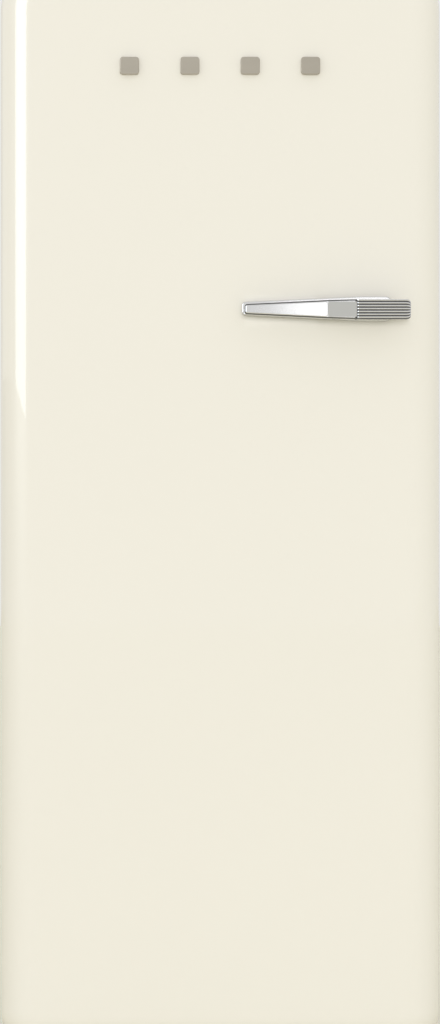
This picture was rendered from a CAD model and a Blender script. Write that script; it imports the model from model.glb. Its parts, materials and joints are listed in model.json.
import bmesh
import bpy
import json
import math
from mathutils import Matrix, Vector


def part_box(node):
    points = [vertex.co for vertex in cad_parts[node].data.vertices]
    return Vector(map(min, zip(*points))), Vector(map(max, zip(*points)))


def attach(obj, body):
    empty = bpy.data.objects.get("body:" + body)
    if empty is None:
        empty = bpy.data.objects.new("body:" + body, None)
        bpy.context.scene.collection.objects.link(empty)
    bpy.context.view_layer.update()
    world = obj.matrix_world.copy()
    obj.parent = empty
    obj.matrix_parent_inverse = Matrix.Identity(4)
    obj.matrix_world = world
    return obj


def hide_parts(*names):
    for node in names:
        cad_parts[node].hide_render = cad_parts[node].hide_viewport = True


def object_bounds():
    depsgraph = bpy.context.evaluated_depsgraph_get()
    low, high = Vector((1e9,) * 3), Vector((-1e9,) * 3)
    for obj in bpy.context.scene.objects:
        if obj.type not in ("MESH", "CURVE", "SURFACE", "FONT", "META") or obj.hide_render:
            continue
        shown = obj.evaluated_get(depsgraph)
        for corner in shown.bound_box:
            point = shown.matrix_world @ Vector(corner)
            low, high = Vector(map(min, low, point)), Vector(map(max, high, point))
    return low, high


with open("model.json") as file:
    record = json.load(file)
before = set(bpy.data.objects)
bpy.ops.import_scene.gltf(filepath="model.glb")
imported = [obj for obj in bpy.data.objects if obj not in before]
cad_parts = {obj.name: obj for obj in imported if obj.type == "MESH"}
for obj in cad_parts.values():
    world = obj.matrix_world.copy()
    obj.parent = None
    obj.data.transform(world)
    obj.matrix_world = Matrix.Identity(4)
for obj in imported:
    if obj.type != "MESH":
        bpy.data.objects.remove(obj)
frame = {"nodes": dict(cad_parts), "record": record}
CAD_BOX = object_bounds()
NODES = frame["nodes"]

# Driving sizes of the enamelled forms, in metres
CORNER_R = 0.085
DOOR_FOOT_R = 0.050
DOOR_EDGE_R = 0.045
CROWN = 0.010
SHEET = 0.0012
HEM = 0.011
HEM_R = 0.003
NOTCH_MARGIN = 0.007  # space round a hinge bracket and its pin
NOTCH_DEPTH = 0.017  # from the front of the pins to the front wall of a notch
OVERCUT = 0.010  # how far a cutter reaches past the form it cuts
POCKET_LAP = 0.00005  # a pocket wall stands this far proud of the cut edge of the skin
SEAT = 0.0003  # how far a piece on the crowned front sinks into it
SMALLEST_R = 0.004  # an inset outline keeps at least this corner radius

DOOR_LOW, DOOR_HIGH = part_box("door_skin")
HALF = DOOR_HIGH.x
CROWN_R = (HALF**2 + CROWN**2) / (2 * CROWN)
PLATE_LOW, PLATE_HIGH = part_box("handle_plate")
LEVER_LOW, LEVER_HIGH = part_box("handle_lever")
GRIP_LOW, GRIP_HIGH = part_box("handle_ribs")
HANDLE_Z = (GRIP_LOW.z + GRIP_HIGH.z) / 2
GRIP_HALF = (GRIP_HIGH.z - GRIP_LOW.z) / 2
GRIP_BACK = LEVER_LOW.y + 0.030
RIB_COUNT = 7
RIB_GROOVE = 0.0020
RIB_SWEEP = 86  # degrees from a rib's crest to its side

# Fineness of the meshes
WELD = 0.00001
CUT_BEVEL = 0.0001
HEM_STEPS = 4
EDGE_STEPS = 18
FRONT_STEP = 0.02
FRONT_CORE = 0.03
OUTLINE_ACROSS = 26
OUTLINE_UP = 64
OUTLINE_ARC = 14
RIB_ARC = 4  # steps from a rib's crest to its side
RIB_POINTS = 2 * RIB_ARC + 3  # points that one groove and its rib take in the section

# Values that all finishes share
CLOUD_GRAINS = 40  # a cloud of tint is this many grains wide
COAT_ROUGHNESS = 0.02
GLASS_IOR = 1.5
GRAIN_DEPTH = 0.0002


# Camera, lights and stage

def add(name, data):
    """Links a new object into the scene."""
    obj = bpy.data.objects.new(name, data)
    bpy.context.scene.collection.objects.link(obj)
    return obj


def aim(obj, target):
    """Points an object's -Z at a place."""
    obj.rotation_euler = (Vector(target) - obj.location).to_track_quat("-Z", "Y").to_euler()


def make_camera():
    """Long lens straight in front, close enough to crop the top and the foot."""
    data = bpy.data.cameras.new("front_camera")
    data.lens = 200
    data.sensor_width = 36
    camera = add("front_camera", data)
    camera.location = (0, -8.046, 0.762)
    camera.rotation_euler = (math.pi / 2, 0, 0)
    bpy.context.scene.camera = camera


def gloss_panel(name, place, target, size, power, colour=(1, 1, 1), roll=0):
    """Rectangular reflector that shows only in gloss."""
    data = bpy.data.lights.new(name, "AREA")
    data.shape = "RECTANGLE"
    data.size, data.size_y = size
    data.energy = power
    data.color = colour
    light = add(name, data)
    light.location = place
    aim(light, target)
    light.rotation_euler.rotate_axis("Z", math.radians(roll))
    light.visible_camera = False
    light.visible_diffuse = False


def front_fill(place, target, strength):
    """Even light from beside the camera, too soft to cast a hard shadow and absent from gloss."""
    data = bpy.data.lights.new("front_fill", "SUN")
    data.energy = strength
    data.angle = math.radians(12)
    light = add("front_fill", data)
    light.location = place
    aim(light, target)
    light.visible_glossy = False


def make_world(colour, strength):
    """Even pale surroundings."""
    world = bpy.data.worlds.new("studio")
    world.use_nodes = True
    background = world.node_tree.nodes["Background"]
    background.inputs["Color"].default_value = (*colour, 1)
    background.inputs["Strength"].default_value = strength
    bpy.context.scene.world = world


def make_floor(material):
    """Plain pale floor."""
    size = 30
    mesh = bpy.data.meshes.new("floor")
    corners = [(-size, -size, 0), (size, -size, 0), (size, size, 0), (-size, size, 0)]
    mesh.from_pydata(corners, [], [(0, 1, 2, 3)])
    floor = add("floor", mesh)
    mesh.materials.append(material)


# Materials

def object_space(tree, stretch):
    """The object's own coordinates, stretched where the grain is brushed."""
    place = tree.nodes.new("ShaderNodeTexCoord")
    scale = tree.nodes.new("ShaderNodeMapping")
    scale.inputs["Scale"].default_value = stretch
    tree.links.new(place.outputs["Object"], scale.inputs["Vector"])
    return scale.outputs["Vector"]


def noise(tree, vector, size, detail):
    """Noise between 0 and 1."""
    node = tree.nodes.new("ShaderNodeTexNoise")
    node.inputs["Scale"].default_value = size
    node.inputs["Detail"].default_value = detail
    tree.links.new(vector, node.inputs["Vector"])
    return node.outputs["Fac"]


def tinted(tree, factor, colour, tint):
    """Colour that drifts a little darker and lighter."""
    mix = tree.nodes.new("ShaderNodeMix")
    mix.data_type = "RGBA"
    mix.inputs["A"].default_value = (*[c * (1 - tint) for c in colour], 1)
    mix.inputs["B"].default_value = (*[min(c * (1 + tint), 1) for c in colour], 1)
    tree.links.new(factor, mix.inputs["Factor"])
    return mix.outputs["Result"]


def varied(tree, factor, rough, spread):
    """Roughness that drifts about its mean."""
    remap = tree.nodes.new("ShaderNodeMapRange")
    remap.inputs["To Min"].default_value = max(rough - spread, 0.0)
    remap.inputs["To Max"].default_value = min(rough + spread, 1.0)
    tree.links.new(factor, remap.inputs["Value"])
    return remap.outputs["Result"]


def grained(tree, height, bump):
    """Normal with a fine relief."""
    relief = tree.nodes.new("ShaderNodeBump")
    relief.inputs["Strength"].default_value = bump
    relief.inputs["Distance"].default_value = GRAIN_DEPTH
    tree.links.new(height, relief.inputs["Height"])
    return relief.outputs["Normal"]


def surface(name, colour, rough, metal=0.0, coat=0.0, grain=400.0, tint=0.03, bump=0.05,
            stretch=(1, 1, 1), clear=0.0, spread=0.05, lacquer=(1, 1, 1)):
    """Procedural finish: tinted base, varied roughness and a fine bumped grain."""
    material = bpy.data.materials.new(name)
    material.use_nodes = True
    tree = material.node_tree
    shader = tree.nodes["Principled BSDF"]
    shader.inputs["Metallic"].default_value = metal
    shader.inputs["Coat Weight"].default_value = coat
    shader.inputs["Coat Roughness"].default_value = COAT_ROUGHNESS
    shader.inputs["Coat Tint"].default_value = (*lacquer, 1)
    shader.inputs["Transmission Weight"].default_value = clear
    shader.inputs["IOR"].default_value = GLASS_IOR
    vector = object_space(tree, stretch)
    cloud = noise(tree, vector, grain / CLOUD_GRAINS, detail=3)
    fine = noise(tree, vector, grain, detail=4)
    tree.links.new(tinted(tree, cloud, colour, tint), shader.inputs["Base Color"])
    tree.links.new(varied(tree, cloud, rough, spread), shader.inputs["Roughness"])
    tree.links.new(grained(tree, fine, bump), shader.inputs["Normal"])
    return material


MATERIALS = {
    "enamel": surface("cream_enamel", (0.85, 0.835, 0.808), 0.30, coat=1.0, tint=0.006, bump=0.015,
                      grain=120, lacquer=(1.0, 0.985, 0.935)),
    "frame_paint": surface("frame_paint", (0.83, 0.805, 0.735), 0.35, coat=0.4, tint=0.01, bump=0.03,
                           grain=300),
    "galvanised": surface("galvanised_sheet", (0.56, 0.58, 0.60), 0.42, metal=0.9, tint=0.12, grain=900,
                          spread=0.12),
    "foam": surface("rigid_foam", (0.83, 0.70, 0.42), 0.85, tint=0.10, bump=0.5, grain=700),
    "liner": surface("white_liner", (0.84, 0.85, 0.84), 0.36, coat=0.15, tint=0.005, bump=0.02, grain=300,
                     spread=0.02),
    "black_plastic": surface("black_plastic", (0.022, 0.022, 0.024), 0.45, tint=0.1, bump=0.25, grain=2500),
    "grey_plastic": surface("grey_plastic", (0.30, 0.31, 0.32), 0.42, tint=0.05, bump=0.2, grain=2500),
    "shelf_glass": surface("shelf_glass", (0.86, 0.96, 0.93), 0.01, clear=1.0, tint=0.01, bump=0.0,
                           spread=0.01),
    "clear_plastic": surface("clear_plastic", (0.96, 0.98, 0.99), 0.05, clear=0.96, tint=0.02, bump=0.02,
                             grain=200, spread=0.03),
    "chrome": surface("polished_chrome", (0.75, 0.75, 0.76), 0.07, metal=1.0, tint=0.02, bump=0.01,
                      grain=200),
    "chrome_shadow": surface("chrome_groove", (0.13, 0.13, 0.135), 0.30, metal=1.0, tint=0.05, grain=600),
    "satin_metal": surface("satin_metal", (0.60, 0.60, 0.60), 0.36, metal=1.0, tint=0.06, bump=0.15,
                           grain=900, stretch=(0.04, 1, 1)),
    "nickel": surface("brushed_nickel", (0.50, 0.46, 0.40), 0.34, metal=1.0, tint=0.10, bump=0.15,
                      grain=1400, stretch=(0.06, 1, 1)),
    "frosted": surface("frosted_plastic", (0.74, 0.84, 0.90), 0.38, clear=0.25, tint=0.03, bump=0.1,
                       grain=900),
    "gasket": surface("vinyl_gasket", (0.70, 0.69, 0.66), 0.55, tint=0.04, bump=0.15, grain=1500),
    "rubber": surface("black_rubber", (0.02, 0.02, 0.02), 0.7, tint=0.2, bump=0.3, grain=2000),
    "black_steel": surface("black_enamel", (0.018, 0.018, 0.020), 0.30, coat=0.3, tint=0.15, bump=0.1,
                           grain=800),
    "copper": surface("copper_tube", (0.72, 0.36, 0.20), 0.28, metal=1.0, tint=0.15, bump=0.05, grain=500),
    "bulb": surface("opal_bulb", (0.95, 0.92, 0.85), 0.12, clear=0.4, tint=0.02, bump=0.02),
    "floor": surface("pale_floor", (0.88, 0.85, 0.71), 0.6, tint=0.005, bump=0.0),
}


# Mesh tools

def quarter(steps):
    """Angles that split a quarter turn into equal parts."""
    return [math.radians(90 * k / steps) for k in range(steps + 1)]


def between(begin, end, count):
    """Points that split a straight stretch into equal parts, without its two ends."""
    shares = [k / count for k in range(1, count)]
    return [(begin[0] + (end[0] - begin[0]) * s, begin[1] + (end[1] - begin[1]) * s) for s in shares]


def loft(name, rings, closed=True, caps=False):
    """Mesh of quads between rings that have equal counts."""
    count = len(rings[0])
    verts = [p for ring in rings for p in ring]
    faces = []
    span = count if closed else count - 1
    for r in range(len(rings) - 1):
        for i in range(span):
            j = (i + 1) % count
            faces.append((r * count + i, r * count + j, (r + 1) * count + j, (r + 1) * count + i))
    if caps:
        faces.append(tuple(reversed(range(count))))
        last = (len(rings) - 1) * count
        faces.append(tuple(range(last, last + count)))
    mesh = bpy.data.meshes.new(name)
    mesh.from_pydata(verts, [], faces)
    mesh.validate()
    return add(name, mesh)


def bake(obj):
    """Replaces an object's mesh by the result of its modifiers."""
    graph = bpy.context.evaluated_depsgraph_get()
    mesh = bpy.data.meshes.new_from_object(obj.evaluated_get(graph))
    obj.modifiers.clear()
    obj.data = mesh


def smooth(obj, angle=35):
    """Smooth shading broken at sharp edges."""
    obj.data.shade_smooth()
    obj.data.set_sharp_from_angle(angle=math.radians(angle))


def keep_faces_flat(obj):
    """Large faces keep their own normals, so that only the bevels round the reflections."""
    weights = obj.modifiers.new("flat_faces", "WEIGHTED_NORMAL")
    weights.keep_sharp = True
    weights.weight = 100


def join(name, objects):
    """One object from several."""
    with bpy.context.temp_override(active_object=objects[0], selected_editable_objects=objects):
        bpy.ops.object.join()
    objects[0].name = name
    return objects[0]


def settle(obj, body, slot, *nodes):
    """Gives a new piece its finish, its body and the CAD nodes it stands for."""
    if not obj.data.materials:
        obj.data.materials.append(MATERIALS[slot])
    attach(obj, body)
    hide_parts(*nodes)


def two_tone(obj, is_dark):
    """Chrome, with the groove finish on the faces that is_dark(number, face) picks out."""
    obj.data.materials.append(MATERIALS["chrome"])
    obj.data.materials.append(MATERIALS["chrome_shadow"])
    for i, face in enumerate(obj.data.polygons):
        if is_dark(i, face):
            face.material_index = 1


def weld(obj):
    """Joins the points that fall on each other."""
    modifier = obj.modifiers.new("weld", "WELD")
    modifier.merge_threshold = WELD


def thicken(obj, offset):
    """Gives a surface the thickness of sheet metal, to the side that the offset says."""
    shell = obj.modifiers.new("sheet", "SOLIDIFY")
    shell.thickness = SHEET
    shell.offset = offset
    shell.use_even_offset = True


def combine(obj, other, operation):
    """Exact boolean modifier with another object."""
    modifier = obj.modifiers.new(operation.lower(), "BOOLEAN")
    modifier.object = other
    modifier.operation = operation
    modifier.solver = "EXACT"


def bevelled_box(name, low, high, width=0.0006, segments=2):
    """Box between two corners with softened edges."""
    x0, y0, z0 = low
    x1, y1, z1 = high
    rings = [[(x0, y0, z), (x1, y0, z), (x1, y1, z), (x0, y1, z)] for z in (z0, z1)]
    obj = loft(name, rings, caps=True)
    soften(obj, width, segments)
    bake(obj)
    smooth(obj)
    return obj


def soften(obj, width, segments=2):
    """Rounds the sharp edges with a bevel."""
    weld(obj)
    bevel = obj.modifiers.new("bevel", "BEVEL")
    bevel.width = width
    bevel.segments = segments
    bevel.limit_method = "ANGLE"
    bevel.angle_limit = math.radians(40)
    bevel.use_clamp_overlap = True


def tube(name, paths, radius):
    """Round wires along one or more point lists."""
    data = bpy.data.curves.new(name, "CURVE")
    data.dimensions = "3D"
    data.bevel_depth = radius
    data.bevel_resolution = 4
    data.use_fill_caps = True
    for path in paths:
        spline = data.splines.new("POLY")
        spline.points.add(len(path) - 1)
        for point, place in zip(spline.points, path):
            point.co = (*place, 1)
    obj = add(name, data)
    graph = bpy.context.evaluated_depsgraph_get()
    mesh = bpy.data.meshes.new_from_object(obj.evaluated_get(graph))
    bpy.data.objects.remove(obj)
    solid = add(name, mesh)
    smooth(solid, 40)
    return solid


def rounded_path(points, radius, steps=6):
    """Corner points turned into arcs."""
    path = [Vector(points[0])]
    for before, corner, after in zip(points, points[1:], points[2:]):
        corner = Vector(corner)
        to_before = (Vector(before) - corner).normalized()
        to_after = (Vector(after) - corner).normalized()
        half = to_before.angle(to_after) / 2
        reach = radius / math.tan(half)
        start = corner + to_before * reach
        end = corner + to_after * reach
        centre = corner + (to_before + to_after).normalized() * radius / math.sin(half)
        first = (start - centre).normalized()
        last = (end - centre).normalized()
        for k in range(steps + 1):
            path.append(centre + first.slerp(last, k / steps) * radius)
    path.append(Vector(points[-1]))
    return path


def lathe(name, x, y, profile):
    """Upright turned form from (radius, height) pairs."""
    steps = 64
    turns = [math.tau * k / steps for k in range(steps)]
    rings = []
    for radius, height in profile:
        rings.append([(x + radius * math.cos(turn), y + radius * math.sin(turn), height) for turn in turns])
    return loft(name, rings, caps=True)


# Enamelled forms

def crown_y(x):
    """Depth of the crowned door front at a given X."""
    return DOOR_LOW.y + x * x / (2 * CROWN_R)


def door_outline(inset):
    """Rounded door outline in X and Z at an inset, always with the same number of points."""
    half = HALF - inset
    bottom = DOOR_LOW.z + inset
    top = DOOR_HIGH.z - inset
    upper = max(CORNER_R - inset, SMALLEST_R)
    lower = max(DOOR_FOOT_R - inset, SMALLEST_R)
    corners = [
        (half - lower, bottom + lower, lower, -90),
        (half - upper, top - upper, upper, 0),
        (-half + upper, top - upper, upper, 90),
        (-half + lower, bottom + lower, lower, 180),
    ]
    arcs = []
    for x, z, radius, start in corners:
        angles = [math.radians(start + 90 * k / OUTLINE_ARC) for k in range(OUTLINE_ARC + 1)]
        arcs.append([(x + radius * math.cos(angle), z + radius * math.sin(angle)) for angle in angles])
    counts = (OUTLINE_UP, OUTLINE_ACROSS, OUTLINE_UP, OUTLINE_ACROSS)
    path = []
    for arc, following, count in zip(arcs, arcs[1:] + arcs[:1], counts):
        path += arc
        path += between(arc[-1], following[0], count)
    return path


def edge_centres():
    """For each outline point, the Y of a ball rolling inside the front edge, and the crown's slope."""
    centres = []
    for (outer_x, _), (x, _) in zip(door_outline(0), door_outline(DOOR_EDGE_R)):
        slope = x / CROWN_R * (outer_x - x) / DOOR_EDGE_R
        centres.append((crown_y(x) + DOOR_EDGE_R * math.sqrt(1 + slope * slope), math.atan(slope)))
    return centres


def front_ring(inset, centres):
    """Door outline on the rounded edge or the crowned front, whichever holds at that inset."""
    ring = []
    for (x, z), (centre, angle) in zip(door_outline(inset), centres):
        y = crown_y(x)
        if inset < DOOR_EDGE_R * (1 - math.sin(angle)):
            y = centre - math.sqrt(DOOR_EDGE_R**2 - (DOOR_EDGE_R - inset)**2)
        ring.append((x, y, z))
    return ring


def door_rings():
    """Outlines of the door from its rolled hem, along the side and round the edge, to the crowned front."""
    back = DOOR_HIGH.y + SHEET
    rings = [[(x, back, z) for x, z in door_outline(inset)] for inset in (HEM, HEM * 0.6)]
    for angle in quarter(HEM_STEPS):
        drawn = door_outline(HEM_R * (1 - math.sin(angle)))
        rings.append([(x, back - HEM_R * (1 - math.cos(angle)), z) for x, z in drawn])
    centres = edge_centres()
    side = zip(door_outline(0), centres)
    rings.append([(x, (back - HEM_R + centre) / 2, z) for (x, z), (centre, _) in side])
    insets = [DOOR_EDGE_R * (1 - math.cos(angle)) for angle in quarter(EDGE_STEPS)]
    inset = DOOR_EDGE_R
    while inset < HALF - FRONT_CORE:
        inset += FRONT_STEP
        insets.append(inset)
    rings += [front_ring(inset, centres) for inset in insets]
    return rings


def make_door_panel():
    """Pressed door skin with its hinge pockets."""
    rings = door_rings()
    pockets = hinge_pockets(rings)
    panel = loft("door_panel", rings)
    close_front(panel.data, len(rings[0]))
    thicken(panel, -1)
    cutters = cut_hinge_notches(panel)
    bake(panel)
    for cutter in cutters:
        bpy.data.objects.remove(cutter)
    smooth(panel, 50)
    panel = join("door_panel", [panel, *pockets])
    settle(panel, "door", "enamel", "door_skin")


def close_front(mesh, count):
    """Fills the last, innermost ring."""
    work = bmesh.new()
    work.from_mesh(mesh)
    work.verts.ensure_lookup_table()
    work.faces.new(work.verts[-count:])
    bmesh.ops.recalc_face_normals(work, faces=work.faces)
    work.to_mesh(mesh)
    work.free()


def notch_levels():
    """Inner X and Y of the bracket notches, and each one's name and Z range."""
    pins_low, pins_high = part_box("hinge_pins")
    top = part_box("top_hinge_bracket")[1].z - NOTCH_MARGIN
    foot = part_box("bottom_hinge_bracket")[0].z + NOTCH_MARGIN
    levels = (("top", top, DOOR_HIGH.z + OVERCUT), ("foot", DOOR_LOW.z - OVERCUT, foot))
    return pins_high.x + NOTCH_MARGIN, pins_low.y - NOTCH_DEPTH, levels


def hinge_pockets(rings):
    """Pressed walls round the two bracket notches, ending inside the thickness of the skin."""
    form = loft("door_form", rings, caps=True)
    inwards = form.modifiers.new("inwards", "DISPLACE")
    inwards.strength = -SHEET / 2
    inwards.mid_level = 0
    bake(form)
    x1, y0, levels = notch_levels()
    x1 -= POCKET_LAP
    y0 += POCKET_LAP
    walls = []
    for name, z0, z1 in levels:
        side = ((x1, y0 - SHEET, z0), (x1 + SHEET, DOOR_HIGH.y, z1))
        front = ((-HALF - OVERCUT, y0 - SHEET, z0), (x1, y0, z1))
        for low, high in (side, front):
            wall = bevelled_box("pocket_" + name, low, high, CUT_BEVEL, 1)
            combine(wall, form, "INTERSECT")
            bake(wall)
            walls.append(wall)
    bpy.data.objects.remove(form)
    return walls


def cut_hinge_notches(panel):
    """Takes the two bracket notches out of the hinge-side back corners, and returns the cutters."""
    x1, y0, levels = notch_levels()
    cutters = []
    for name, z0, z1 in levels:
        low = (-HALF - OVERCUT, y0, z0)
        high = (x1, DOOR_HIGH.y + OVERCUT, z1)
        cutter = bevelled_box("notch_" + name, low, high, CUT_BEVEL, 1)
        combine(panel, cutter, "DIFFERENCE")
        cutters.append(cutter)
    return cutters


def wrap_stations(low, high):
    """Inset and Y of each section of the wrapper, from front to back."""
    roll = 0.002
    half_way = roll * 0.3
    margin = 0.03
    steps = 12
    span = high.y - low.y - 2 * margin
    stations = [(roll, low.y), (half_way, low.y + half_way), (0, low.y + roll)]
    stations += [(0, low.y + margin + span * k / steps) for k in range(steps + 1)]
    stations += [(0, high.y - roll), (half_way, high.y - half_way), (roll, high.y)]
    return stations


def make_cabinet_wrap():
    """Painted wrapper with a softly rolled front and rear edge."""
    low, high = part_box("cabinet_shell")
    up = 40
    across = 16
    rings = []
    for inset, y in wrap_stations(low, high):
        half = high.x - inset
        top = high.z - inset
        radius = CORNER_R - inset
        path = [(half, low.z + (top - radius - low.z) * k / up) for k in range(up)]
        for angle in quarter(24):
            path.append((half - radius + radius * math.cos(angle), top - radius + radius * math.sin(angle)))
        left = [(-x, z) for x, z in reversed(path)]
        middle = [(path[-1][0] * (1 - 2 * k / across), top) for k in range(1, across)]
        rings.append([(x, y, z) for x, z in path + middle + left])
    wrap = loft("cabinet_wrap", rings, closed=False)
    thicken(wrap, 1)
    bake(wrap)
    smooth(wrap, 50)
    settle(wrap, "cabinet", "enamel", "cabinet_shell")


def make_gasket():
    """Magnetic gasket: a soft bellows between the door and a flat sealing face."""
    low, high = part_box("door_gasket")
    depth = high.y - low.y
    inset = HALF - high.x
    width = 0.014
    lip = 0.001
    ease = 0.0012
    fold = 0.0035
    inner_fold = width - 0.0025
    section = [(lip, 0), (0, 0.12), (0, 0.34), (fold, 0.44), (fold, 0.54), (0, 0.64), (0, 0.94), (ease, 1)]
    section += [(width - ease, 1), (width, 0.94), (width, 0.64), (inner_fold, 0.54), (inner_fold, 0.44)]
    section += [(width, 0.34), (width + lip, 0.12), (width + lip, 0)]
    rings = []
    for offset, share in section:
        rings.append([(x, low.y + depth * share, z) for x, z in door_outline(inset + offset)])
    rings.append(rings[0])
    seal = loft("gasket_seal", rings)
    weld(seal)
    bake(seal)
    smooth(seal, 60)
    settle(seal, "door", "gasket", "door_gasket")


# Handle

def plan_outline(points, radii, steps=8):
    """Closed outline in X and Z with each corner rounded by its own radius."""
    path = []
    count = len(points)
    for i, (corner, radius) in enumerate(zip(points, radii)):
        before = Vector(points[i - 1]) - Vector(corner)
        after = Vector(points[(i + 1) % count]) - Vector(corner)
        before.normalize()
        after.normalize()
        half = before.angle(after) / 2
        reach = radius / math.tan(half)
        start = Vector(corner) + before * reach
        end = Vector(corner) + after * reach
        centre = Vector(corner) + (before + after).normalized() * radius / math.sin(half)
        first = math.atan2(start.y - centre.y, start.x - centre.x)
        last = math.atan2(end.y - centre.y, end.x - centre.x)
        sweep = (last - first + math.pi) % math.tau - math.pi
        for k in range(steps + 1):
            angle = first + sweep * k / steps
            path.append((centre.x + radius * math.cos(angle), centre.y + radius * math.sin(angle)))
    return path


def mirrored_outline(lower, radii, middle):
    """Rounded outline from the corners of its lower half, mirrored about a level."""
    corners = lower + [(x, -z) for x, z in reversed(lower)]
    return plan_outline([(x, middle + z) for x, z in corners], radii + radii[::-1])


def rounded_rectangle(x0, x1, z0, z1, radius, steps):
    """Rectangular outline in X and Z with four equal corners."""
    return plan_outline([(x0, z0), (x1, z0), (x1, z1), (x0, z1)], [radius] * 4, steps)


def shrink(path, distance):
    """Outline moved inwards by a small distance."""
    result = []
    count = len(path)
    for i, point in enumerate(path):
        ahead = Vector(path[(i + 1) % count]) - Vector(path[i - 1])
        ahead.normalize()
        normal = Vector((-ahead.y, ahead.x))
        result.append((point[0] + normal.x * distance, point[1] + normal.y * distance))
    return result


def pad(name, path, back, front, round_r, steps=5):
    """Raised pad with a rounded front edge; back(x) gives the depth of its back."""
    rings = [[(x, back(x), z) for x, z in path]]
    for angle in quarter(steps):
        drawn = shrink(path, round_r * (1 - math.cos(angle)))
        drop = round_r * (1 - math.sin(angle))
        rings.append([(x, front + drop, z) for x, z in drawn])
    return loft(name, rings, caps=True)


def post(name, low, high):
    """Rounded chrome block that carries a piece of the handle on its plate."""
    block = bevelled_box(name, low, high, 0.003, 3)
    block.data.materials.append(MATERIALS["chrome"])
    return block


def make_handle_plate():
    """Tapered chrome bezel that follows the crowned door."""
    tip = 0.009
    root = (PLATE_HIGH.z - PLATE_LOW.z) / 2
    middle = (PLATE_HIGH.z + PLATE_LOW.z) / 2
    shoulder = PLATE_LOW.x + 0.161
    lower = [(PLATE_LOW.x, -tip), (shoulder, -root), (PLATE_HIGH.x, -root)]
    path = mirrored_outline(lower, [0.005, 0.09, 0.008], middle)
    plate = pad("handle_bezel", path, lambda x: crown_y(x) - SEAT, PLATE_LOW.y, 0.0012)
    dark = 2 * len(path)  # the wall and the first band of the rounded edge
    two_tone(plate, lambda i, face: i < dark)
    smooth(plate, 50)
    keep_faces_flat(plate)
    settle(plate, "door", "chrome", "handle_plate")


def make_handle_lever():
    """Tapered lever: flat face, dark bevelled border and a rounded back."""
    tip = 0.0070
    shoulder = 0.0125
    root = (LEVER_HIGH.z - LEVER_LOW.z) / 2
    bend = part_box("handle_inlay")[0].x
    end = GRIP_LOW.x
    lower = [(LEVER_LOW.x, -tip), (bend, -shoulder), (end, -root)]
    path = mirrored_outline(lower, [0.004, 0.05, 0.001], HANDLE_Z)
    front = LEVER_LOW.y
    back = front + 0.012
    stations = [(0.004, back), (0.0012, back - 0.0012), (0.0, back - 0.004), (0.0, front + 0.0028),
                (0.0002, front + 0.0022), (0.0018, front + 0.0010), (0.0022, front + 0.0008)]
    rings = [[(x, y, z) for x, z in shrink(path, drawn)] for drawn, y in stations]
    lever = loft("handle_bar", rings, caps=True)
    border = 4  # the band of faces that slopes from the side to the face
    two_tone(lever, lambda i, face: i // len(path) == border)
    margin = 0.001
    foot_low = (bend + 0.004, back - 0.002, HANDLE_Z - root + margin)
    foot_high = (end, PLATE_LOW.y + 0.0002, HANDLE_Z + root - margin)
    foot = post("handle_post", foot_low, foot_high)
    smooth(lever, 40)
    lever = join("handle_bar", [lever, foot, lever_face(tip, shoulder, bend, front)])
    keep_faces_flat(lever)
    settle(lever, "door", "chrome", "handle_lever")


def lever_face(tip, shoulder, bend, front):
    """Raised bright face of the lever, rounded where it meets the satin strip."""
    border = 0.0021
    lower = [(LEVER_LOW.x + border, border - tip), (bend, border - shoulder)]
    path = mirrored_outline(lower, [0.002, 0.004], HANDLE_Z)
    face = pad("handle_face", path, lambda x: front + 0.0009, front, 0.0008)
    face.data.materials.append(MATERIALS["chrome"])
    smooth(face, 40)
    return face


def make_handle_inlay():
    """Satin strip between the lever's bright face and the ribs."""
    low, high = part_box("handle_inlay")
    front = LEVER_LOW.y + 0.00065
    path = rounded_rectangle(low.x, GRIP_LOW.x, low.z, high.z, 0.0008, 4)
    strip = pad("handle_strip", path, lambda x: front + 0.0025, front, 0.0002, 2)
    smooth(strip, 40)
    keep_faces_flat(strip)
    settle(strip, "door", "satin_metal", "handle_inlay")


def rib_section():
    """Section of the grip in Y and Z: grooves and rounded ribs in front, a plain block behind."""
    pitch = 2 * GRIP_HALF / RIB_COUNT
    width = pitch * 0.30
    floor = GRIP_LOW.y + RIB_GROOVE
    section = []
    for i in range(RIB_COUNT):
        low = HANDLE_Z - GRIP_HALF + pitch * i
        middle = low + pitch - width
        section += [(floor, low), (floor, middle - width)]
        for k in range(-RIB_ARC, RIB_ARC + 1):
            angle = math.radians(RIB_SWEEP * k / RIB_ARC)
            section.append((GRIP_LOW.y + width * (1 - math.cos(angle)), middle + width * math.sin(angle)))
    section.append((floor, HANDLE_Z + GRIP_HALF))
    bevel = 0.004
    section += [(GRIP_BACK - bevel, HANDLE_Z + GRIP_HALF), (GRIP_BACK, HANDLE_Z + GRIP_HALF - bevel)]
    section += [(GRIP_BACK, HANDLE_Z - GRIP_HALF + bevel), (GRIP_BACK - bevel, HANDLE_Z - GRIP_HALF)]
    return section


def rib_stations():
    """X of each section of the grip, how far it is drawn in, and how far its ribs are sunk."""
    start = GRIP_LOW.x + 0.0001
    end = GRIP_HIGH.x
    run_in = [(start, 0, RIB_GROOVE), (start + 0.0005, 0, RIB_GROOVE * 0.5)]
    run_in += [(start + 0.0014, 0, RIB_GROOVE * 0.15), (start + 0.0028, 0, 0)]
    run_out = [(end - 0.006, 0, 0), (end - 0.003, 0.0006, 0), (end - 0.001, 0.0020, 0), (end, 0.0045, 0)]
    return run_in + run_out


def in_groove(index):
    """Whether a point of the section belongs to a groove."""
    return index < RIB_COUNT * RIB_POINTS and index % RIB_POINTS in (0, 1, RIB_POINTS - 1)


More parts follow.
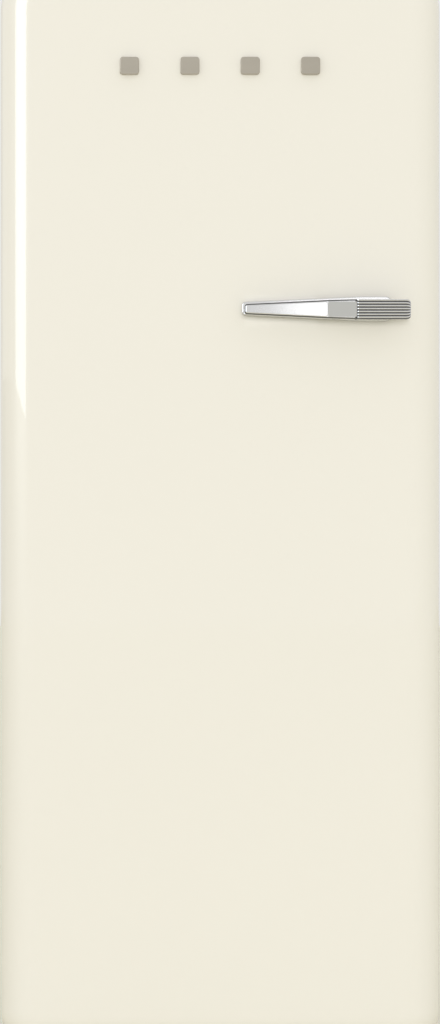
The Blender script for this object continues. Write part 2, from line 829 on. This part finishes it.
def make_handle_ribs():
    """Grip block with rounded ribs and dark grooves between them."""
    section = rib_section()
    rings = []
    for x, draw, sink in rib_stations():
        face = GRIP_LOW.y + draw + sink
        scale = 1 - draw / GRIP_HALF
        rings.append([(x, max(y, face), HANDLE_Z + (z - HANDLE_Z) * scale) for y, z in section])
    grip = loft("handle_grip", rings, caps=True)
    two_tone(grip, lambda i, face: in_groove(face.vertices[0] % len(section)))
    smooth(grip, 40)
    margin = 0.003
    foot_low = (GRIP_LOW.x, GRIP_BACK - 0.002, HANDLE_Z - GRIP_HALF + margin)
    foot_high = (PLATE_HIGH.x - 0.020, PLATE_LOW.y + 0.0002, HANDLE_Z + GRIP_HALF - margin)
    foot = post("grip_post", foot_low, foot_high)
    grip = join("handle_grip", [grip, foot])
    settle(grip, "door", "chrome", "handle_ribs")


def make_studs():
    """Four plain flat studs seated on the crowned front."""
    low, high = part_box("badge_studs")
    count = 4
    width = 0.026
    pitch = (high.x - low.x - width) / (count - 1)
    edge = ((0, 0.0011), (0.0002, 0.0005), (0.0006, 0.0001), (0.0010, 0))
    studs = []
    for i in range(count):
        left = low.x + pitch * i
        path = rounded_rectangle(left, left + width, low.z, high.z, 0.004, 6)
        rings = [[(x, crown_y(x) - SEAT, z) for x, z in path]]
        for drawn, drop in edge:
            rings.append([(x, low.y + drop, z) for x, z in shrink(path, drawn)])
        stud = loft("stud_%d" % i, rings, caps=True)
        smooth(stud, 25)
        studs.append(stud)
    row = join("badge_row", studs)
    keep_faces_flat(row)
    settle(row, "door", "nickel", "badge_studs")


# Wire and tube work

def make_condenser_coil():
    """Serpentine tube on the back."""
    low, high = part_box("condenser_coil")
    radius = (high.y - low.y) / 2
    y = (low.y + high.y) / 2
    half = -low.x - radius
    down = high.x - radius
    foot = low.z + 0.040
    top = high.z - radius
    runs = 23
    points = [(-half, y, low.z)]
    for i in range(runs):
        z = foot + (top - foot) * i / (runs - 1)
        side = -half if i % 2 == 0 else half
        points += [(side, y, z), (-side, y, z)]
    points[-1] = (down, y, top)
    points.append((down, y, low.z))
    coil = tube("condenser_tube", [rounded_path(points, 0.012)], radius)
    settle(coil, "cabinet", "black_steel", "condenser_coil")


def make_condenser_wires():
    """Upright wires across the serpentine tube."""
    low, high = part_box("condenser_wires")
    count = 26
    radius = (high.y - low.y) / 2
    y = low.y + radius
    span = high.x - low.x - 2 * radius
    columns = [low.x + radius + span * i / (count - 1) for i in range(count)]
    wires = tube("condenser_fins", [[(x, y, low.z), (x, y, high.z)] for x in columns], radius)
    settle(wires, "cabinet", "black_steel", "condenser_wires")


def make_pipes():
    """Copper runs in the machine bay, with the filter drier."""
    low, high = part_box("refrigerant_pipes")
    coil_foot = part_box("condenser_coil")[0].z
    shell_low, shell_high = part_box("compressor")
    bay_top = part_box("rear_panel")[0].z - 0.0014
    r = 0.003
    x = (shell_low.x + shell_high.x) / 2
    y = (shell_low.y + shell_high.y) / 2
    left = low.x + r
    right = high.x - r
    back = high.y - r
    level = low.z + r
    discharge = [(x - 0.0622, y, level), (left, y, level), (left, back, level), (left, back, coil_foot)]
    drier_y = CAD_BOX[1].y - 0.090
    drier_z = bay_top - 0.0498
    inner = right - 0.160
    liquid = [(right, back, coil_foot), (right, back, drier_z), (right, drier_y, drier_z),
              (inner, drier_y, drier_z), (inner, drier_y, bay_top)]
    pipes = tube("bay_pipes", [rounded_path(discharge, 0.012), rounded_path(liquid, 0.010)], r)
    drier = [(right - 0.118, drier_y, drier_z), (right - 0.032, drier_y, drier_z)]
    body = tube("filter_drier", [drier], 0.009)
    outlet = x - 0.015
    suction = tube("suction_pipe", [[(outlet, y, shell_high.z - 0.001), (outlet, y, bay_top)]], 0.004)
    pipes = join("bay_pipes", [pipes, body, suction])
    settle(pipes, "cabinet", "copper", "refrigerant_pipes")


def make_bottle_rack():
    """Welded chrome wire rack; every third bar is raised on short posts."""
    low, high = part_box("bottle_rack")
    rail = 0.0035
    bar = 0.002
    edge = 0.003
    raised = 0.004
    count = 19
    rails_y = [low.y + edge, (low.y + high.y) / 2, high.y - edge]
    z = low.z + rail
    rails = [[(low.x, y, z), (high.x, y, z)] for y in rails_y]
    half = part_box("shelf_trims")[1].x
    bars = []
    for i in range(count):
        x = -half + 2 * half * i / (count - 1)
        on_posts = i % 3 == 0
        height = z + rail + (raised if on_posts else 0)
        bars.append([(x, low.y, height), (x, high.y, height)])
        if on_posts:
            bars += [[(x, y, z), (x, y, height)] for y in rails_y]
    rack = join("wire_rack", [tube("rack_rails", rails, rail), tube("rack_bars", bars, bar)])
    settle(rack, "cabinet", "chrome", "bottle_rack")


def make_bottle_rail():
    """Bent chrome rail over the bottle bin."""
    low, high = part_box("bottle_rail")
    r = (high.y - low.y) / 2
    y = low.y + r
    left = low.x + r
    right = high.x - r
    top = high.z - r
    points = [(left, y, low.z), (left, y, top), (right, y, top), (right, y, low.z)]
    rail = tube("bottle_guard", [rounded_path(points, 0.012, 10)], r)
    settle(rail, "door", "chrome", "bottle_rail")


def compressor_profile(base, top):
    """Radius and height of the shell: a domed foot, a seam and a domed top."""
    radius = 0.062
    dome = 0.030
    bulge = 0.003
    seam = base + (top - base) * 0.55
    profile = []
    for angle in quarter(8):
        profile.append((radius - dome + dome * math.sin(angle), base + dome * (1 - math.cos(angle))))
    profile += [(radius, seam - 0.001), (radius + bulge, seam), (radius + bulge, seam + 0.005)]
    profile.append((radius, seam + 0.006))
    for angle in quarter(8):
        profile.append((radius - dome + dome * math.cos(angle), top - dome + dome * math.sin(angle)))
    return profile


def make_compressor():
    """Domed hermetic shell with its seam, mounting plate and terminal pad."""
    low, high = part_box("compressor")
    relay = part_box("start_relay_box")[0]
    x = (low.x + high.x) / 2
    y = (low.y + high.y) / 2
    shell = lathe("compressor_shell", x, y, compressor_profile(low.z + 0.002, high.z))
    smooth(shell, 40)
    reach = 0.058
    foot_high = (high.x, y + reach, low.z + 0.003)
    foot = bevelled_box("compressor_foot", (low.x, y - reach, low.z), foot_high, 0.001)
    reach = 0.022
    pad_low = (x, y - reach, relay.z + 0.002)
    pad_high = (relay.x, y + reach, relay.z + 0.050)
    terminal = bevelled_box("compressor_terminal", pad_low, pad_high)
    whole = join("compressor_body", [shell, foot, terminal])
    settle(whole, "cabinet", "black_steel", "compressor")


def make_lamp():
    """Opal bulb on its cap."""
    low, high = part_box("lamp")
    y = (low.y + high.y) / 2
    z = (low.z + high.z) / 2
    radius = 0.009
    pole = 0.0002
    turns = [math.tau * i / 32 for i in range(32)]
    rings = []
    for k in range(13):
        angle = math.radians(180 * k / 12)
        ring_r = max(radius * math.sin(angle), pole)
        x = low.x + radius * (1 - math.cos(angle))
        rings.append([(x, y + ring_r * math.cos(turn), z + ring_r * math.sin(turn)) for turn in turns])
    bulb = loft("lamp_bulb", rings, caps=True)
    smooth(bulb)
    cap = tube("lamp_cap", [[(high.x - 0.006, y, z), (high.x, y, z)]], 0.007)
    bulb = join("lamp_bulb", [bulb, cap])
    settle(bulb, "cabinet", "bulb", "lamp")


# CAD nodes that keep their shape

SOFT_EDGES = {
    "plinth": 0.0006,
    "shelf_glass_lower": 0.0008,
    "shelf_glass_middle": 0.0008,
    "shelf_glass_upper": 0.0008,
    "crisper_cover_glass": 0.0008,
    "ice_compartment": 0.0008,
    "ice_flap": 0.0012,
    "crisper_drawer": 0.0009,
    "crisper_front": 0.0014,
    "light_switch_housing": 0.0010,
    "thermostat_knob": 0.0006,
    "control_housing": 0.0004,
    "dairy_bin": 0.0009,
    "dairy_lid": 0.0009,
    "door_bin_upper": 0.0009,
    "door_bin_lower": 0.0009,
    "bottle_bin": 0.0009,
    "start_relay_box": 0.0012,
    "evaporating_dish": 0.0009,
    "rear_spacers": 0.0015,
    "compressor_tray": 0.0005,
    "roller_brackets": 0.0004,
    "condenser_brackets": 0.0004,
}


def finish_nodes():
    """Gives every CAD node its procedural material and softened edges."""
    slots = {part["node"]: part["material_slot"] for part in frame["record"]["subparts"]}
    for name, node in NODES.items():
        node.data.materials.clear()
        node.data.materials.append(MATERIALS[slots[name]])
        if name in SOFT_EDGES:
            soften(node, SOFT_EDGES[name])


bpy.context.scene.view_settings.view_transform = "Standard"
make_camera()
make_world(colour=(0.985, 0.985, 0.965), strength=0.83)
make_floor(MATERIALS["floor"])
front_fill(place=(0.4, -7.4, 1.5), target=(0, 0, 0.8), strength=0.84)
gloss_panel("left_softbox", place=(-1.88, -1.94, 1.69), target=(-0.35, -0.24, 1.13), size=(1.75, 1.5),
            power=30, colour=(0.86, 0.93, 1.0), roll=-2.2)
gloss_panel("left_halo", place=(-2.7, 0.3, 1.74), target=(-0.3, -0.3, 1.18), size=(3.0, 1.5), power=6)
gloss_panel("lever_card", place=(0.42, -7.5, 1.291), target=(0.12, 0, 1.036), size=(0.5, 0.08), power=0.19)

finish_nodes()
make_door_panel()
make_cabinet_wrap()
make_gasket()
make_handle_plate()
make_handle_lever()
make_handle_inlay()
make_handle_ribs()
make_studs()
make_condenser_coil()
make_condenser_wires()
make_pipes()
make_bottle_rack()
make_bottle_rail()
make_compressor()
make_lamp()
